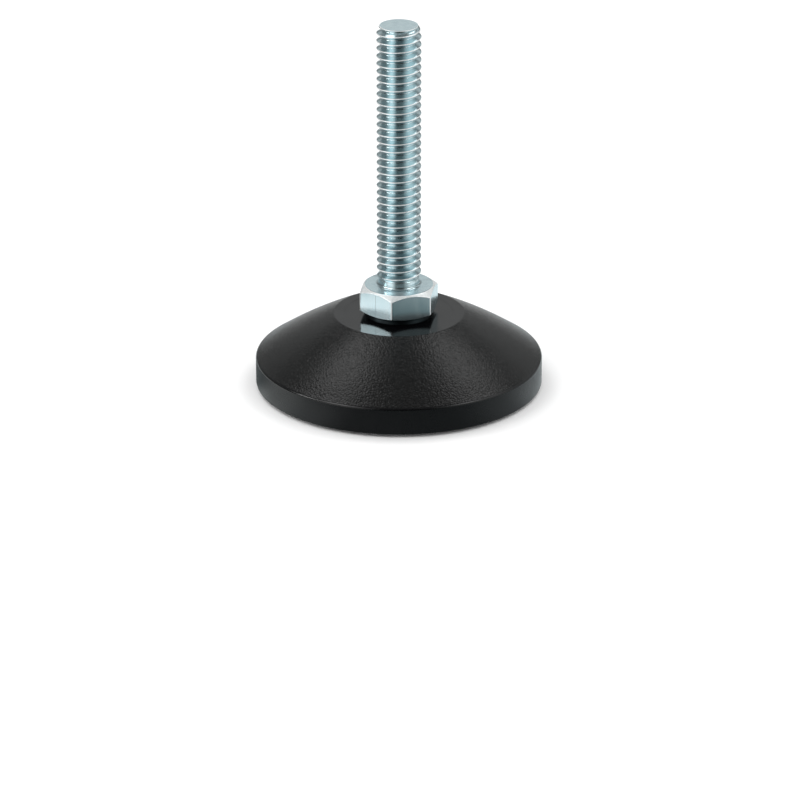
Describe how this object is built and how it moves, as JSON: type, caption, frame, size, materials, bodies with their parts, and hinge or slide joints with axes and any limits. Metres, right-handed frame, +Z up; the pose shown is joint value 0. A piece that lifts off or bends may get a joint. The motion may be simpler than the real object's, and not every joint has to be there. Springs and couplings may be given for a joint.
{
  "type": "swivel levelling foot",
  "caption": "Swivel levelling foot: a ribbed black plastic foot plate with a ball socket, and a zinc-plated steel threaded spindle that tilts in it.",
  "frame": {"origin": "middle of the floor face of the foot plate", "axes": "+Z up along the stud, +X and +Y along ribs of the underside"},
  "size_m": [0.0508, 0.0508, 0.0667],
  "materials": {
    "black_polyamide": "moulded glass-filled polyamide, fine spark-eroded grain on the dome, smooth rim and pad",
    "zinc_steel": "blue zinc plated steel, satin"
  },
  "bodies": {
    "foot": {"foot_plate": "black_polyamide"},
    "spindle": {"spindle": "zinc_steel"}
  },
  "joints": [
    {"name": "stud_tilt", "type": "hinge", "parent": "foot", "child": "spindle", "pos_m": [0, 0, 0.01066], "axis": [0, 1, 0], "range_deg": [-6, 6]}
  ]
}
